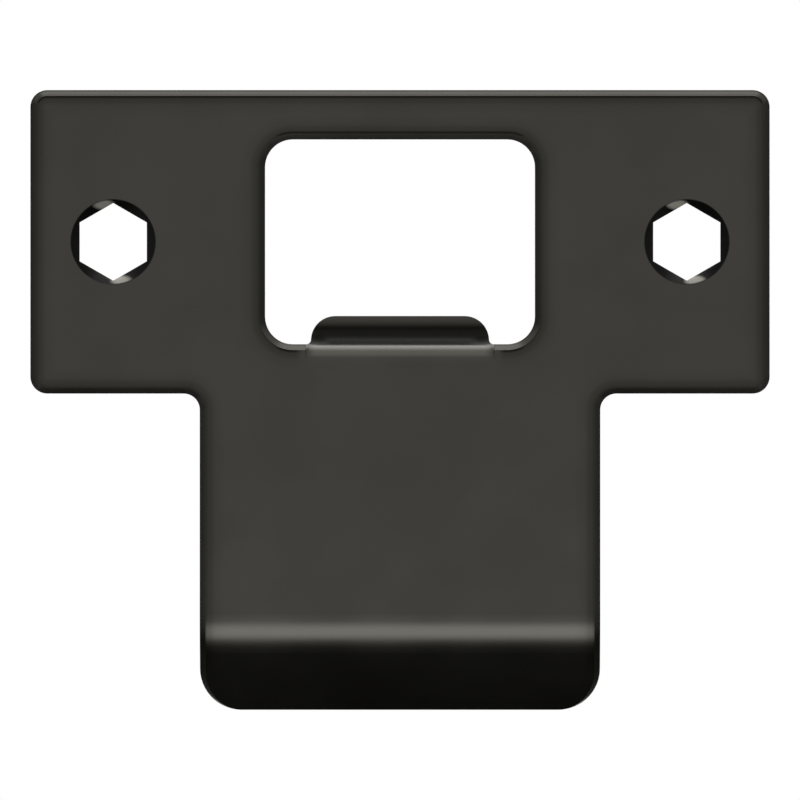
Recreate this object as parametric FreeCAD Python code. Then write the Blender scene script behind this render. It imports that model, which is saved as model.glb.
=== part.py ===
import FreeCAD, Part
import math
import os

from FreeCAD import Vector

# A door strike plate pressed from one sheet. All sizes are in millimetres.
# X runs along the bar, Z runs up and the front faces -Y. The origin lies on
# the back face, halfway between the two screw holes.

# Sheet, and the bevel along its front edges
sheet_thickness = 1.27
edge_bevel = 0.55

# Bar across the top, centred on the screw holes
bar_width = 69.85
bar_height = 28.68
bar_corner_radius = 1.6

# Screw holes, hexagons with a point at the top inside a sunk round rim
screw_inset = 7.825
screw_hole_across_flats = 6.35
screw_rim_diameter = 8.0
screw_sink_angle = 82.0

# Latch opening through the bar
opening_width = 25.5
opening_height = 19.35
opening_corner_radius = 2.62

# Tongue from the bar down to the lip
tongue_width = 37.84
tongue_length = 20.86
tongue_inside_radius = 1.53

# Lip folded back from the tongue, its corners round as seen from the front
lip_inside_radius = 3.9
lip_angle = 45.0
lip_length = 8.25
lip_corner_radius = 3.9

# Tab folded back from the foot of the opening, then curled up
tab_root_width = 16.9
tab_tip_width = 16.6
tab_root_radius = 0.45
tab_tip_radius = 2.3
tab_fold_inside_radius = 0.55
tab_shelf_length = 0.3
tab_curl_inside_radius = 2.2
tab_tip_length = 0.48

# Levels, depths and radii that follow from the sizes above
front = -sheet_thickness
half_screw_spacing = bar_width / 2 - screw_inset
bar_foot = -bar_height / 2
lip_start = bar_foot - tongue_length
lip_outside_radius = lip_inside_radius + sheet_thickness
opening_foot = -opening_height / 2
tab_foot_width = tab_root_width + 2 * tab_root_radius
tab_fold_radius = tab_fold_inside_radius + sheet_thickness
tab_start = opening_foot - tab_fold_radius
tab_curl_level = opening_foot + tab_curl_inside_radius
tab_tip = tab_curl_level + tab_tip_length
tab_shelf_start = front + tab_fold_radius
tab_curl_start = tab_shelf_start + tab_shelf_length
tab_depth = tab_curl_start + tab_curl_inside_radius + sheet_thickness - front

# Directions, turns and the shortest line worth drawing
across = Vector(1, 0, 0)
back = Vector(0, 1, 0)
up = Vector(0, 0, 1)
quarter_turn = 90.0
hexagon_sides = 6
shortest_line = 1e-6


# Corners (x, z, radius) of a right half, top to bottom, then their mirror image
def mirrored(right_half):
    left_half = [(-x, z, radius) for x, z, radius in reversed(right_half)]
    return right_half + left_half


# How far the round of each corner may run along its two sides
def fitting_reaches(sides, wanted):
    shares = []
    for i, side in enumerate(sides):
        needed = wanted[i] + wanted[(i + 1) % len(wanted)]
        shares.append(min(1.0, side.Length / max(needed, shortest_line)))
    return [wanted[i] * min(shares[i - 1], shares[i]) for i in range(len(wanted))]


# A flat face on the sheet's front, from its corners
def rounded_face(corners):
    points = [Vector(x, front, z) for x, z, radius in corners]
    count = len(points)
    sides = [points[(i + 1) % count] - points[i] for i in range(count)]
    turns = [sides[i - 1].getAngle(sides[i]) for i in range(count)]
    wanted = [corner[2] * math.tan(turn / 2) for corner, turn in zip(corners, turns)]
    reaches = fitting_reaches(sides, wanted)
    edges = []
    for i, point in enumerate(points):
        arriving = sides[i - 1] / sides[i - 1].Length
        leaving = sides[i] / sides[i].Length
        start = point - arriving * reaches[i]
        end = point + leaving * reaches[i]
        if reaches[i] > 0:
            radius = reaches[i] / math.tan(turns[i] / 2)
            inward = (leaving - arriving).normalize()
            middle = point + inward * (radius / math.cos(turns[i] / 2) - radius)
            edges.append(Part.Arc(start, middle, end).toShape())
        line_length = sides[i].Length - reaches[i] - reaches[(i + 1) % count]
        if line_length > shortest_line:
            edges.append(Part.makeLine(end, end + leaving * line_length))
    return Part.Face(Part.Wire(edges))


# The sheet's cross-section at a level, as wide as the strip
def strip_section(width, level):
    half = width / 2
    corners = [
        Vector(-half, front, level),
        Vector(half, front, level),
        Vector(half, 0, level),
        Vector(-half, 0, level),
        Vector(-half, front, level),
    ]
    return Part.Face(Part.makePolygon(corners))


# A copy of a section or piece, turned about a line along X
def turned(shape, axis_point, turn):
    copy = shape.copy()
    copy.rotate(axis_point, across, turn)
    return copy


# A copy of a section or piece, moved along
def moved(shape, travel):
    copy = shape.copy()
    copy.translate(travel)
    return copy


# Bar and tongue as one flat blank, with the latch opening
def make_blank():
    outline = [
        (bar_width / 2, -bar_foot, bar_corner_radius),
        (bar_width / 2, bar_foot, bar_corner_radius),
        (tongue_width / 2, bar_foot, tongue_inside_radius),
        (tongue_width / 2, lip_start, 0),
    ]
    opening = [
        (opening_width / 2, -opening_foot, opening_corner_radius),
        (opening_width / 2, opening_foot, opening_corner_radius),
    ]
    sheet = back * sheet_thickness
    blank = rounded_face(mirrored(outline)).extrude(sheet)
    return blank.cut(rounded_face(mirrored(opening)).extrude(sheet))


# One corner of the flat lip, stretched so that it looks round once the lip leans
def lip_corner(side, radius, length):
    centre = Vector(side * (tongue_width / 2 - radius), front, lip_start - lip_length + length)
    lowest = centre - up * length
    outermost = centre + across * side * radius
    quarter = math.radians(quarter_turn)
    return Part.Ellipse(lowest, outermost, centre).toShape(0, quarter), lowest, outermost


# Lip with the fold that leads into it
def make_lip():
    axis_point = Vector(0, front + lip_outside_radius, lip_start)
    bend = strip_section(tongue_width, lip_start).revolve(axis_point, across, lip_angle)
    lean = math.cos(math.radians(lip_angle))
    radius = min(lip_corner_radius, lip_length * lean)
    right_round, right_low, right_side = lip_corner(1, radius, radius / lean)
    left_round, left_low, left_side = lip_corner(-1, radius, radius / lean)
    right_top = Vector(tongue_width / 2, front, lip_start)
    left_top = Vector(-tongue_width / 2, front, lip_start)
    edges = [
        Part.makeLine(left_top, right_top),
        Part.makeLine(right_top, right_side),
        right_round,
        Part.makeLine(right_low, left_low),
        left_round,
        Part.makeLine(left_side, left_top),
    ]
    outline = Part.Face(Part.Wire(Part.__sortEdges__(edges)))
    flat = outline.extrude(back * sheet_thickness)
    return bend.fuse(turned(flat, axis_point, lip_angle))


# Direction in which a face looks, at its middle
def outlook(face):
    low_u, high_u, low_v, high_v = face.ParameterRange
    return face.normalAt((low_u + high_u) / 2, (low_v + high_v) / 2)


# Edges where the front of the sheet meets its cut walls
def front_rim(shape):
    faces = [face for face in shape.Faces if outlook(face).y < -math.cos(math.radians(lip_angle)) / 2]
    edges = [edge for face in faces for edge in face.Edges]
    return [edge for edge in edges if sum(edge.isSame(other) for other in edges) == 1]


# Tool for one screw hole, a hexagon through the sheet and its sunk rim
def screw_hole_tool(x):
    centre = Vector(x, front, 0)
    corner_radius = screw_hole_across_flats / 2 / math.cos(math.pi / hexagon_sides)
    corners = []
    for i in range(hexagon_sides + 1):
        angle = 2 * math.pi * i / hexagon_sides
        corners.append(
            centre + across * corner_radius * math.sin(angle) + up * corner_radius * math.cos(angle)
        )
    hexagon = Part.Face(Part.makePolygon(corners)).extrude(back * sheet_thickness)
    rim_radius = screw_rim_diameter / 2
    sink_depth = rim_radius / math.tan(math.radians(screw_sink_angle / 2))
    return hexagon.fuse(Part.makeCone(rim_radius, 0, sink_depth, centre, back))


# Tab as a strip folded back, run level, curled up and trimmed to its outline
def make_tab():
    fold_axis = Vector(0, tab_shelf_start, tab_start)
    curl_axis = Vector(0, tab_curl_start, tab_curl_level)
    foot_section = strip_section(tab_foot_width, tab_start)
    shelf_section = turned(foot_section, fold_axis, -quarter_turn)
    curl_section = moved(shelf_section, back * tab_shelf_length)
    tip_section = turned(curl_section, curl_axis, quarter_turn)
    fold = foot_section.revolve(fold_axis, across, -quarter_turn)
    shelf = shelf_section.extrude(back * tab_shelf_length)
    curl = curl_section.revolve(curl_axis, across, quarter_turn)
    tip = tip_section.extrude(up * tab_tip_length)
    outline = [
        (tab_tip_width / 2, tab_tip, tab_tip_radius),
        (tab_root_width / 2, opening_foot, tab_root_radius),
        (tab_foot_width / 2, opening_foot, 0),
        (tab_foot_width / 2, tab_start, 0),
    ]
    trim = rounded_face(mirrored(outline)).extrude(back * tab_depth)
    return fold.fuse([shelf, curl, tip]).common(trim)


# Room for the tab's foot, sheared out of the sheet below the opening
def tab_notch():
    height = opening_foot + edge_bevel - tab_start
    corner = Vector(-tab_foot_width / 2, front, tab_start)
    return Part.makeBox(tab_foot_width, sheet_thickness, height, corner)


# The whole plate as one solid
def make_plate():
    folded = make_blank().fuse(make_lip())
    bevelled = folded.makeChamfer(edge_bevel, front_rim(folded))
    screw_tools = [screw_hole_tool(side * half_screw_spacing) for side in (-1, 1)]
    plate = bevelled.cut([*screw_tools, tab_notch()]).fuse(make_tab()).removeSplitter()
    return plate.Solids[0] if len(plate.Solids) == 1 else plate


plate = make_plate()
box = plate.BoundBox
print("valid", plate.isValid(), "solids", len(plate.Solids), "volume", round(plate.Volume, 1))
print("x", box.XMin, box.XMax, "y", box.YMin, box.YMax, "z", box.ZMin, box.ZMax)
os.makedirs("parts", exist_ok=True)
plate.exportStep("parts/strike_plate.step")
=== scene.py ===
import math

import bpy
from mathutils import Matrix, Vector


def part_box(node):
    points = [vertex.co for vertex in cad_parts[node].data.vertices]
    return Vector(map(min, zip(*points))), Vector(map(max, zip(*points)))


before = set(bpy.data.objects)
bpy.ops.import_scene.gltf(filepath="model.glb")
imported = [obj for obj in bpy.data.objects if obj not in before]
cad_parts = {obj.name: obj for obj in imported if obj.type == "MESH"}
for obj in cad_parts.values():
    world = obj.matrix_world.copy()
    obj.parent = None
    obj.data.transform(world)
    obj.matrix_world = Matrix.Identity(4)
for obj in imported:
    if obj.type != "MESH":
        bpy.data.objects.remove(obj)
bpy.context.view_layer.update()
print("frame loaded:", sorted(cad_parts))

millimetres = 1000.0   # in a metre


# a socket takes a plain value, or the output of another node
def feed(tree, socket, value):
    if isinstance(value, bpy.types.NodeSocket):
        tree.links.new(value, socket)
    else:
        socket.default_value = value


# small helpers for node trees; each returns the output of what it adds
def mathNode(tree, operation, first, second=0.0, third=0.0):
    node = tree.nodes.new("ShaderNodeMath")
    node.operation = operation
    for socket, value in zip(node.inputs, (first, second, third)):
        feed(tree, socket, value)
    return node.outputs[0]


def product(tree, first, *others):
    result = first
    for other in others:
        result = mathNode(tree, "MULTIPLY", result, other)
    return result


def vectorNode(tree, operation, first, second=(0, 0, 0), scale=1.0):
    node = tree.nodes.new("ShaderNodeVectorMath")
    node.operation = operation
    if operation == "SCALE":
        node.inputs["Scale"].default_value = scale
    for socket, value in zip(node.inputs, (first, second)):
        feed(tree, socket, value)
    return node.outputs["Value"] if operation == "LENGTH" else node.outputs["Vector"]


def separate(tree, vector):
    node = tree.nodes.new("ShaderNodeSeparateXYZ")
    tree.links.new(vector, node.inputs[0])
    return node.outputs


# a point with its depth left out
def seenFromFront(tree, across, height):
    node = tree.nodes.new("ShaderNodeCombineXYZ")
    tree.links.new(across, node.inputs["X"])
    tree.links.new(height, node.inputs["Z"])
    return node.outputs[0]


def noiseNode(tree, position, size, detail, roughness):
    node = tree.nodes.new("ShaderNodeTexNoise")
    node.inputs["Scale"].default_value = 1 / size
    node.inputs["Detail"].default_value = detail
    node.inputs["Roughness"].default_value = roughness
    tree.links.new(position, node.inputs["Vector"])
    return node.outputs["Fac"]


# goes from low to high while the value goes from start to end
def rangeNode(tree, value, start, end, low=0.0, high=1.0, shape="SMOOTHSTEP"):
    node = tree.nodes.new("ShaderNodeMapRange")
    node.interpolation_type = shape
    tree.links.new(value, node.inputs["Value"])
    limits = {"From Min": start, "From Max": end, "To Min": low, "To Max": high}
    for name, limit in limits.items():
        node.inputs[name].default_value = limit
    return node.outputs["Result"]


# one inside a zone, given by its distances from a place: where it starts and where it is full,
# and with four distances also where it stops being full and where it ends
def zone(tree, value, distances, place=0.0):
    start, full, *rest = [place + distance for distance in distances]
    inside = rangeNode(tree, value, start, full)
    if rest:
        stillFull, end = rest
        inside = product(tree, inside, rangeNode(tree, value, end, stillFull))
    return inside


# the first value where the factor is nothing, the second where it is one
def blend(tree, first, second, factor):
    node = tree.nodes.new("ShaderNodeMix")
    for name, value in (("Factor", factor), ("A", first), ("B", second)):
        feed(tree, node.inputs[name], value)
    return node.outputs["Result"]


def mixColours(tree, blendType, first, second, factor):
    node = tree.nodes.new("ShaderNodeMix")
    node.data_type = "RGBA"
    node.blend_type = blendType
    for name, value in (("Factor", factor), ("A", first), ("B", second)):
        feed(tree, node.inputs[name], value)
    return node.outputs["Result"]


def mixShaders(tree, first, second, factor):
    node = tree.nodes.new("ShaderNodeMixShader")
    for socket, value in zip(node.inputs, (factor, first, second)):
        tree.links.new(value, socket)
    return node.outputs[0]


# an empty material, its tree, and the socket that its shader goes into
def newMaterial(name):
    material = bpy.data.materials.new(name)
    material.use_nodes = True
    tree = material.node_tree
    tree.nodes.clear()
    return material, tree, tree.nodes.new("ShaderNodeOutputMaterial").inputs["Surface"]


# how far a point is from a rounded rectangle seen from the front, negative inside it
def makeDistanceGroup():
    group = bpy.data.node_groups.new("distanceToRoundedRectangle", "ShaderNodeTree")
    for name in ("Position", "Centre"):
        group.interface.new_socket(name, in_out="INPUT", socket_type="NodeSocketVector")
    for name in ("Half Width", "Half Height", "Corner Radius"):
        group.interface.new_socket(name, in_out="INPUT", socket_type="NodeSocketFloat")
    group.interface.new_socket("Distance", in_out="OUTPUT", socket_type="NodeSocketFloat")
    given = group.nodes.new("NodeGroupInput").outputs
    result = group.nodes.new("NodeGroupOutput")

    offset = vectorNode(group, "SUBTRACT", given["Position"], given["Centre"])
    fromCentre = separate(group, vectorNode(group, "ABSOLUTE", offset))
    radius = given["Corner Radius"]
    straightWidth = mathNode(group, "SUBTRACT", given["Half Width"], radius)
    straightHeight = mathNode(group, "SUBTRACT", given["Half Height"], radius)
    sideways = mathNode(group, "SUBTRACT", fromCentre["X"], straightWidth)
    upwards = mathNode(group, "SUBTRACT", fromCentre["Z"], straightHeight)
    beyond = seenFromFront(group, mathNode(group, "MAXIMUM", sideways, 0.0),
                           mathNode(group, "MAXIMUM", upwards, 0.0))
    outside = vectorNode(group, "LENGTH", beyond)
    inside = mathNode(group, "MINIMUM", mathNode(group, "MAXIMUM", sideways, upwards), 0.0)
    distance = mathNode(group, "SUBTRACT", mathNode(group, "ADD", outside, inside), radius)
    group.links.new(distance, result.inputs["Distance"])
    return group


distanceGroup = makeDistanceGroup()


# the rectangle is given by its left and right, its foot and top, and the radius of its corners
def distanceTo(tree, position, left, right, foot, top, corner):
    node = tree.nodes.new("ShaderNodeGroup")
    node.node_tree = distanceGroup
    tree.links.new(position, node.inputs["Position"])
    values = {
        "Centre": ((left + right) / 2, 0, (foot + top) / 2),
        "Half Width": (right - left) / 2,
        "Half Height": (top - foot) / 2,
        "Corner Radius": corner,
    }
    for name, value in values.items():
        node.inputs[name].default_value = value
    return node.outputs["Distance"]


plateLow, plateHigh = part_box("strike_plate")

# the plate seen from the front, in mm; heights are from the line of the screw holes
plateSizes = {
    "barHalfWidth": plateHigh.x * millimetres,
    "barTop": plateHigh.z * millimetres,   # the bar's foot is as far below the holes
    "barCorner": 1.6,
    "tongueHalfWidth": 18.92,
    "innerCorner": 1.53,                   # where the tongue meets the bar
    "lipFoot": plateLow.z * millimetres,
    "lipCorner": 3.9,
    "openingHalfWidth": 12.75,
    "openingHalfHeight": 9.675,
    "openingCorner": 2.62,
    "foldHalfWidth": 8.9,                  # of the tab, where it leaves the foot of the opening
    "holeAcross": 27.1,                    # from the middle of the plate
    "rimRadius": 4.0,                      # of the sunk rim round each hole
}

# satin dark bronze; its colour carries painted shade along the edges and in the hollows, and painted
# highlights on bevels and rims
# lengths are in mm, and a share multiplies the colour
plateFinish = {
    # the coat
    "bronze": (0.0462, 0.0448, 0.0394),
    "paleBronze": (0.0501, 0.0486, 0.0430),        # where the coat is thin
    "tone": {"size": 9.0, "detail": 3.0, "roughness": 0.55},
    "grain": {"size": 0.22, "detail": 2.0, "roughness": 0.6},
    "noiseRange": (0.3, 0.7),                      # of both noises
    "grainInRoughness": 0.4,                       # the rest comes from the tone
    "roughness": (0.30, 0.37),
    "grainDepth": 0.0015,

    # painted shade along the edges: distance in from an edge, and the share there
    "edgeShadeSteps": [(0, 0.30), (0.35, 0.33), (0.45, 0.40), (0.53, 0.45), (0.62, 0.50),
                   (0.72, 0.58), (0.81, 0.64), (0.91, 0.68), (1.05, 0.71), (1.15, 0.735),
                   (1.25, 0.80), (1.4, 0.88), (1.6, 0.92), (1.9, 0.945), (2.4, 1.0)],
    "edgeShadeReach": 2.6,
    "innerCornerReach": 6.0,                       # round the corner between tongue and bar
    "emptySpace": 60.0,                            # width and height of what lies beside the tongue there

    # painted highlights on bevels, as if lit from above; how far up a face looks goes from -1 to 1
    "bevel": (0.60, 0.52),                         # in from the edge
    "lookingUp": (0.10, 0.45),
    "lookingDown": (-0.45, -0.68),
    "highlightHeights": (-9.0, 13.0),                    # from the line of the screw holes
    "upwardHighlight": (2.7, 1.75),                     # brighter by this at the first height, and at the second
    "highlightLine": (0.12, 0.19, 0.32, 0.40),          # a line along the middle of these bevels
    "highlightLineEdge": (1.25, 1.6),                   # is brighter again by this
    "downwardHighlight": 2.0,

    # painted shade: a dark line beside the bar's top bevel and the level bevels of the opening
    "shadeLine": (0.52, 0.58, 0.70, 0.84),            # in from the edge
    "shadeLineShare": 0.5,
    "alongTop": (-1.34, -1.04),                    # from the bar's top
    "alongOpening": (0.225, 0.425),                # past the opening's top or foot

    # painted shade on walls, and places that lack some of the painted edge shade; how far back a face looks
    # goes from -1 to 1
    "wall": (0.45, 0.25),                          # either way
    "wallShare": 0.75,
    "back": (0.3, 0.6),
    "backFade": 0.6,
    "lipEnd": (5.3, 2.8),                          # above the foot of the lip
    "lipFade": 0.75,
    "besideFold": (1.05, 0.25),                    # past the ends of the tab's fold
    "besideFoldHeights": (-4.325, -3.325, -0.625, -0.475),

    # the tab has no painted edge shade, but painted shade in its hollow and on its fold at the fold's ends
    # and foot
    # heights are from the foot of the opening, and ends from those of the fold
    "tabEnd": (0, -1.1),
    "tabHeights": (3.075, 2.775),
    "curlDepth": (0.25, 0.6),                      # behind the back of the sheet
    "curlLook": (0.1, 0.4),                        # up and forward together
    "hollowHeights": (-0.225, 0.375, 1.475, 2.475),
    "hollowShade": 0.09,
    "foldEnds": (-1.0, 0, 0.01, 0.05),
    "foldHeights": (-1.475, -0.775, -0.125, 0.375),
    "foldEndShade": 0.5,
    "foldFootEnds": (0.05, 0.01),
    "foldFootHeights": (-1.475, -1.075, -0.725, -0.475),
    "foldFootShade": 0.82,
    "shelfEnds": (-2.5, -1.1),                     # the coat is dull at the ends of the level part
    "shelfHeights": (-0.175, -0.005, 0.675, 1.075),
    "shelfRoughness": 0.7,

    # painted shade in the sunk rims
    "rim": (0.09, -0.05),                          # out from the rim's radius
    "insideRim": (0.01, -0.11),
    "offBack": (-0.02, -0.12),                     # in front of the back of the sheet
    "rimShade": 0.042,
    # painted glints: across and up from the hole's middle, half width, half height, brightness
    "paintedGlints": [(0.80, -3.66, 1.05, 0.5, 60.0), (-0.90, 3.52, 1.05, 0.48, 195.0)],
    "spotEdge": (1.4, 0.2),                        # square of the distance, in half widths and half heights
}


# where a point of the plate is, and which way its face looks
def readPoint(tree):
    texture = tree.nodes.new("ShaderNodeTexCoord").outputs
    position = vectorNode(tree, "SCALE", texture["Object"], scale=millimetres)
    place = separate(tree, position)
    look = separate(tree, texture["Normal"])
    return {
        "position": position,
        "across": place["X"],
        "fromMiddle": mathNode(tree, "ABSOLUTE", place["X"]),
        "depth": place["Y"],
        "height": place["Z"],
        "lookBack": look["Y"],
        "lookUp": look["Z"],
    }


# distance in from the outline of bar, tongue and lip
def fromOutline(tree, point):
    barSide, barTop = plateSizes["barHalfWidth"], plateSizes["barTop"]
    barFoot = -barTop
    side = plateSizes["tongueHalfWidth"]
    bar = distanceTo(tree, point["position"], -barSide, barSide, barFoot, barTop, plateSizes["barCorner"])
    tongue = distanceTo(tree, point["position"], -side, side, plateSizes["lipFoot"], barTop,
                        plateSizes["lipCorner"])
    inPlate = product(tree, mathNode(tree, "MINIMUM", bar, tongue), -1.0)
    # round the inner corners it is the distance from the empty space beside the tongue
    mirrored = seenFromFront(tree, point["fromMiddle"], point["height"])
    space = plateFinish["emptySpace"]
    fromSpace = distanceTo(tree, mirrored, side, side + space, barFoot - space, barFoot,
                           plateSizes["innerCorner"])
    reach = plateFinish["innerCornerReach"]
    nearCorner = distanceTo(tree, mirrored, side - reach, side + reach,
                            barFoot - reach, barFoot + reach, 0.0)
    atCorner = mathNode(tree, "MINIMUM", fromSpace, product(tree, nearCorner, -1.0))
    return mathNode(tree, "MAXIMUM", inPlate, atCorner)


# distance out from the opening, with the tab put beyond the reach of the painted edge shade
def fromOpening(tree, point):
    side, top = plateSizes["openingHalfWidth"], plateSizes["openingHalfHeight"]
    foot, end = -top, plateSizes["foldHalfWidth"]
    distance = distanceTo(tree, point["position"], -side, side, foot, top, plateSizes["openingCorner"])
    onTab = product(tree, zone(tree, point["fromMiddle"], plateFinish["tabEnd"], end),
                    zone(tree, point["height"], plateFinish["tabHeights"], foot))
    return mathNode(tree, "MULTIPLY_ADD", onTab, 2 * plateFinish["edgeShadeReach"], distance)


# painted shade: dark close to an edge, full further in
def edgeShadeByDistance(tree, inset):
    shares, reach = plateFinish["edgeShadeSteps"], plateFinish["edgeShadeReach"]
    ramp = tree.nodes.new("ShaderNodeValToRGB")
    stops = ramp.color_ramp.elements
    while len(stops) < len(shares):
        stops.new(0.5)   # moved to its place below
    for stop, (distance, share) in zip(stops, shares):
        stop.position = distance / reach
        stop.color = (share, share, share, 1)
    tree.links.new(mathNode(tree, "DIVIDE", inset, reach), ramp.inputs["Fac"])
    return ramp.outputs["Color"]


# painted highlight: bevels that look up are painted bright, most along their middle, and those that look
# down a little
def bevelHighlight(tree, point, inset):
    finish = plateFinish
    onBevel = zone(tree, inset, finish["bevel"])
    upward = product(tree, zone(tree, point["lookUp"], finish["lookingUp"]), onBevel)
    downward = product(tree, zone(tree, point["lookUp"], finish["lookingDown"]), onBevel)
    highlightLine = product(tree, zone(tree, inset, finish["highlightLine"]), upward)
    edge = rangeNode(tree, point["height"], *finish["highlightHeights"], *finish["upwardHighlight"])
    line = rangeNode(tree, point["height"], *finish["highlightHeights"], *finish["highlightLineEdge"])
    highlit = product(tree, blend(tree, 1.0, edge, upward), blend(tree, 1.0, line, highlightLine))
    return blend(tree, highlit, finish["downwardHighlight"], downward)


# painted shade: dark lines beside the bar's top bevel and the opening's level ones
def shadeLineShare(tree, point, outline, opening):
    finish = plateFinish
    underTop = product(tree, zone(tree, outline, finish["shadeLine"]),
                       zone(tree, point["height"], finish["alongTop"], plateSizes["barTop"]))
    fromLine = mathNode(tree, "ABSOLUTE", point["height"])
    besideOpening = product(tree, zone(tree, opening, finish["shadeLine"]),
                            zone(tree, fromLine, finish["alongOpening"], plateSizes["openingHalfHeight"]))
    shadeLine = mathNode(tree, "MAXIMUM", underTop, besideOpening)
    return blend(tree, 1.0, finish["shadeLineShare"], shadeLine)


# how much of the painted edge shade is lacking: on the back, at the end of the lip and beside the tab's
# fold
def edgeShadeFade(tree, point):
    finish = plateFinish
    foot, end = -plateSizes["openingHalfHeight"], plateSizes["foldHalfWidth"]
    onBack = product(tree, zone(tree, point["lookBack"], finish["back"]), finish["backFade"])
    onLip = product(tree, zone(tree, point["height"], finish["lipEnd"], plateSizes["lipFoot"]),
                    finish["lipFade"])
    besideFold = product(tree, zone(tree, point["fromMiddle"], finish["besideFold"], end),
                         zone(tree, point["height"], finish["besideFoldHeights"], foot))
    return mathNode(tree, "MAXIMUM", mathNode(tree, "MAXIMUM", onBack, onLip), besideFold)


# the painted shade and highlights of edges, bevels, dark lines and walls together
def edgeLightAndShade(tree, point):
    outline = fromOutline(tree, point)
    opening = fromOpening(tree, point)
    inset = mathNode(tree, "MINIMUM", outline, opening)
    share = product(tree, edgeShadeByDistance(tree, inset), bevelHighlight(tree, point, inset),
                    shadeLineShare(tree, point, outline, opening))
    onWall = zone(tree, mathNode(tree, "ABSOLUTE", point["lookBack"]), plateFinish["wall"])
    return blend(tree, blend(tree, share, plateFinish["wallShare"], onWall), 1.0, edgeShadeFade(tree, point))


# one on the side of the tab that faces up and forward, behind the sheet
def insideCurl(tree, point):
    look = mathNode(tree, "SUBTRACT", point["lookUp"], point["lookBack"])
    return product(tree, zone(tree, point["depth"], plateFinish["curlDepth"]),
                   zone(tree, look, plateFinish["curlLook"]))


# painted shade in the hollow, at the two ends of the fold, and at its foot where it leaves the flat of the
# sheet
def tabShade(tree, point, curl):
    finish = plateFinish
    foot, end = -plateSizes["openingHalfHeight"], plateSizes["foldHalfWidth"]
    hollow = product(tree, zone(tree, point["height"], finish["hollowHeights"], foot), curl)
    foldEnds = product(tree, zone(tree, point["height"], finish["foldHeights"], foot),
                       zone(tree, point["fromMiddle"], finish["foldEnds"], end))
    foldFoot = product(tree, zone(tree, point["height"], finish["foldFootHeights"], foot),
                       zone(tree, point["fromMiddle"], finish["foldFootEnds"], end))
    return product(tree, blend(tree, 1.0, finish["hollowShade"], hollow),
                   blend(tree, 1.0, finish["foldEndShade"], foldEnds),
                   blend(tree, 1.0, finish["foldFootShade"], foldFoot))


# the ends of the level part between the tab's fold and its curl
def shelfEnds(tree, point, curl):
    foot, end = -plateSizes["openingHalfHeight"], plateSizes["foldHalfWidth"]
    return product(tree, zone(tree, point["fromMiddle"], plateFinish["shelfEnds"], end), curl,
                   zone(tree, point["height"], plateFinish["shelfHeights"], foot))


# painted shade in the sunk rims, which only the front has, and the same painted glints on both
def rimShade(tree, point):
    finish = plateFinish
    side = mathNode(tree, "SIGN", point["across"])
    across = mathNode(tree, "MULTIPLY_ADD", side, -plateSizes["holeAcross"], point["across"])
    fromHole = vectorNode(tree, "LENGTH", seenFromFront(tree, across, point["height"]))
    offBack = zone(tree, point["depth"], finish["offBack"])
    onRim = product(tree, offBack, zone(tree, fromHole, finish["rim"], plateSizes["rimRadius"]))
    insideRim = product(tree, offBack, zone(tree, fromHole, finish["insideRim"], plateSizes["rimRadius"]))
    share = blend(tree, 1.0, finish["rimShade"], onRim)
    for right, rise, halfWidth, halfHeight, brightness in finish["paintedGlints"]:
        sideways = mathNode(tree, "DIVIDE", mathNode(tree, "SUBTRACT", across, right), halfWidth)
        upwards = mathNode(tree, "DIVIDE", mathNode(tree, "SUBTRACT", point["height"], rise), halfHeight)
        fromSpot = mathNode(tree, "ADD", product(tree, sideways, sideways), product(tree, upwards, upwards))
        spot = product(tree, zone(tree, fromSpot, finish["spotEdge"]), insideRim)
        share = product(tree, share, blend(tree, 1.0, brightness, spot))
    return share


# metal whose colour and gloss vary slowly with the tone, with a fine grain over it
def makeBronze():
    finish = plateFinish
    material, tree, surface = newMaterial("darkBronze")
    shader = tree.nodes.new("ShaderNodeBsdfPrincipled")
    shader.inputs["Metallic"].default_value = 1.0
    tree.links.new(shader.outputs["BSDF"], surface)
    point = readPoint(tree)
    curl = insideCurl(tree, point)
    tone = noiseNode(tree, point["position"], **finish["tone"])
    grain = noiseNode(tree, point["position"], **finish["grain"])

    # the colour carries painted shade along the edges, in the tab and the rims, and painted highlights on
    # bevels and glints in the rims
    share = product(tree, edgeLightAndShade(tree, point), tabShade(tree, point, curl), rimShade(tree, point))
    bronze = mixColours(tree, "MIX", (*finish["bronze"], 1), (*finish["paleBronze"], 1),
                        zone(tree, tone, finish["noiseRange"]))
    tree.links.new(mixColours(tree, "MULTIPLY", bronze, share, 1.0), shader.inputs["Base Color"])

    grainPart = finish["grainInRoughness"]
    mixed = mathNode(tree, "ADD", product(tree, grain, grainPart), product(tree, tone, 1 - grainPart))
    roughness = rangeNode(tree, mixed, *finish["noiseRange"], *finish["roughness"], "LINEAR")
    roughness = blend(tree, roughness, finish["shelfRoughness"], shelfEnds(tree, point, curl))
    tree.links.new(roughness, shader.inputs["Roughness"])

    bump = tree.nodes.new("ShaderNodeBump")
    bump.inputs["Strength"].default_value = 1.0
    bump.inputs["Distance"].default_value = finish["grainDepth"] / millimetres
    tree.links.new(grain, bump.inputs["Height"])
    tree.links.new(bump.outputs["Normal"], shader.inputs["Normal"])
    return material


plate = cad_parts["strike_plate"]
plate.data.materials.clear()
plate.data.materials.append(makeBronze())
print("plate finished")


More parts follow.
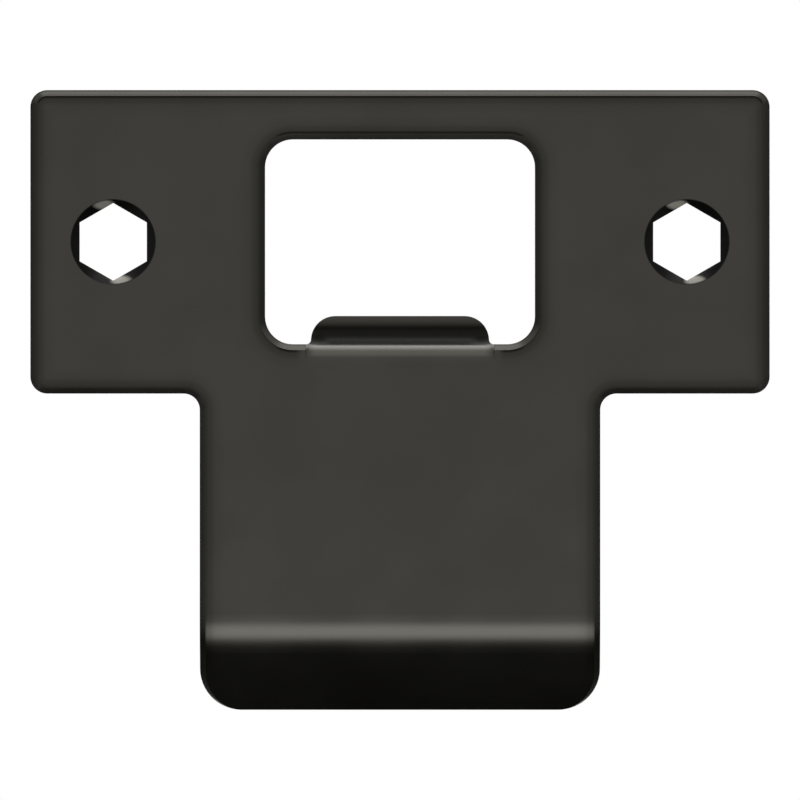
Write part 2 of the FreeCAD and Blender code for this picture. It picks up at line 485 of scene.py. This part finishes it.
# pale floor, white surroundings, three soft lamps and a dark card; metres
studio = {
    "ambient": 0.30,                # how much of the white surroundings lights the floor
    "floor": {
        "height": -0.075,
        "radius": 0.7,
        "sides": 96,
        "colour": (0.74, 0.74, 0.73),
        "fade": (0.30, 0.60),       # from the middle, where the floor turns white
    },
    "darkCard": {
        "front": -0.009,
        "back": 0.028,
        "halfWidth": 0.060,
        "height": -0.050,
        "colour": (0.065, 0.065, 0.06),
    },
    "lamps": {
        "overheadFront": {
            "place": (0, -0.274, 0.752),
            "aim": (0, 0, 0),
            "size": (0.8, 0.75),
            "brightness": 1.6,
        },
        "overheadBack": {
            "place": (0, 0.338, 0.725),
            "aim": (0, 0, 0),
            "size": (0.8, 0.58),
            "brightness": 3.4,
        },
        "lowFront": {
            "place": (0, -0.0585, -0.073),
            "aim": (0, -0.0585, 1),
            "size": (0.30, 0.061),
            "brightness": 3.4,
        },
    },
}


# one for the rays that see the white background: the camera's, mirrored and passed through
def backgroundRays(tree):
    path = tree.nodes.new("ShaderNodeLightPath").outputs
    seen = mathNode(tree, "MAXIMUM", path["Is Camera Ray"], path["Is Glossy Ray"])
    return mathNode(tree, "MAXIMUM", seen, path["Is Transmission Ray"])


# the surroundings: white where they are seen or mirrored, dimmer where they only give light
def makeWorld():
    world = bpy.data.worlds.new("whiteStudio")
    world.use_nodes = True
    tree = world.node_tree
    tree.nodes.clear()
    output = tree.nodes.new("ShaderNodeOutputWorld")
    background = tree.nodes.new("ShaderNodeBackground")
    background.inputs["Color"].default_value = (1, 1, 1, 1)
    tree.links.new(blend(tree, studio["ambient"], 1.0, backgroundRays(tree)), background.inputs["Strength"])
    tree.links.new(background.outputs[0], output.inputs["Surface"])
    bpy.context.scene.world = world


# pale paper that turns white far out, and isn't there from below, so that a low view still shows the plate
def makePaper():
    material, tree, surface = newMaterial("paleFloor")
    paper = tree.nodes.new("ShaderNodeBsdfDiffuse")
    paper.inputs["Color"].default_value = (*studio["floor"]["colour"], 1)
    white = tree.nodes.new("ShaderNodeEmission")
    white.inputs["Color"].default_value = (1, 1, 1, 1)
    white.inputs["Strength"].default_value = 1.0
    fromMiddle = vectorNode(tree, "LENGTH", tree.nodes.new("ShaderNodeTexCoord").outputs["Object"])
    farOut = product(tree, zone(tree, fromMiddle, studio["floor"]["fade"]), backgroundRays(tree))
    above = mixShaders(tree, paper.outputs[0], white.outputs[0], farOut)
    below = tree.nodes.new("ShaderNodeBsdfTransparent").outputs[0]
    fromBelow = tree.nodes.new("ShaderNodeNewGeometry").outputs["Backfacing"]
    tree.links.new(mixShaders(tree, above, below, fromBelow), surface)
    return material


def makeFloor():
    size = studio["floor"]
    bpy.ops.mesh.primitive_circle_add(vertices=size["sides"], radius=size["radius"], fill_type="NGON",
                                      location=(0, 0, size["height"]))
    floor = bpy.context.object
    floor.name = "floor"
    floor.data.materials.append(makePaper())


# a card just under the lip that only mirrored rays see, so that the lip stays dark
def makeDarkCard():
    card = studio["darkCard"]
    corners = [(-card["halfWidth"], card["front"], card["height"]),
               (card["halfWidth"], card["front"], card["height"]),
               (card["halfWidth"], card["back"], card["height"]),
               (-card["halfWidth"], card["back"], card["height"])]
    mesh = bpy.data.meshes.new("darkCard")
    mesh.from_pydata(corners, [], [(0, 1, 2, 3)])
    material, tree, surface = newMaterial("blackCard")
    felt = tree.nodes.new("ShaderNodeBsdfDiffuse")
    felt.inputs["Color"].default_value = (*card["colour"], 1)
    tree.links.new(felt.outputs[0], surface)
    mesh.materials.append(material)
    item = bpy.data.objects.new("darkCard", mesh)
    item.visible_camera = False
    item.visible_diffuse = False
    item.visible_transmission = False
    item.visible_shadow = False
    bpy.context.scene.collection.objects.link(item)


# turns a lamp to its target, with its long side level
def aimAt(item, target):
    right, forward, up = [there - here for there, here in zip(target, item.location)]
    length = math.sqrt(right ** 2 + forward ** 2 + up ** 2)
    item.rotation_euler = (math.acos(-up / length), 0, math.atan2(-right, forward))


# a soft rectangular lamp, equally bright at any size
def makeLamp(name, lamp):
    data = bpy.data.lights.new(name, "AREA")
    data.shape = "RECTANGLE"
    data.size, data.size_y = lamp["size"]
    data.energy = lamp["brightness"] * math.pi * data.size * data.size_y
    item = bpy.data.objects.new(name, data)
    item.location = lamp["place"]
    aimAt(item, lamp["aim"])
    item.visible_camera = False
    bpy.context.scene.collection.objects.link(item)


makeWorld()
makeFloor()
makeDarkCard()
for name, lamp in studio["lamps"].items():
    makeLamp(name, lamp)
print("studio lit")


# straight at the front with a long lens, as in the photo; metres, the sensor in mm
cameraSetup = {
    "height": -0.014945,
    "distance": 2.2,          # from the front face
    "frameWidth": 0.07557,    # of the front face across the picture
    "sensor": 36.0,
    "clip": (0.1, 20),
}


def makeCamera():
    setup = cameraSetup
    data = bpy.data.cameras.new("camera")
    data.sensor_width = setup["sensor"]
    data.lens = setup["sensor"] * setup["distance"] / setup["frameWidth"]
    data.clip_start, data.clip_end = setup["clip"]
    camera = bpy.data.objects.new("camera", data)
    camera.location = (0, plateLow.y - setup["distance"], setup["height"])
    camera.rotation_euler = (math.pi / 2, 0, 0)
    bpy.context.scene.collection.objects.link(camera)
    bpy.context.scene.camera = camera


makeCamera()
bpy.context.scene.view_settings.view_transform = "Standard"
print("camera set")
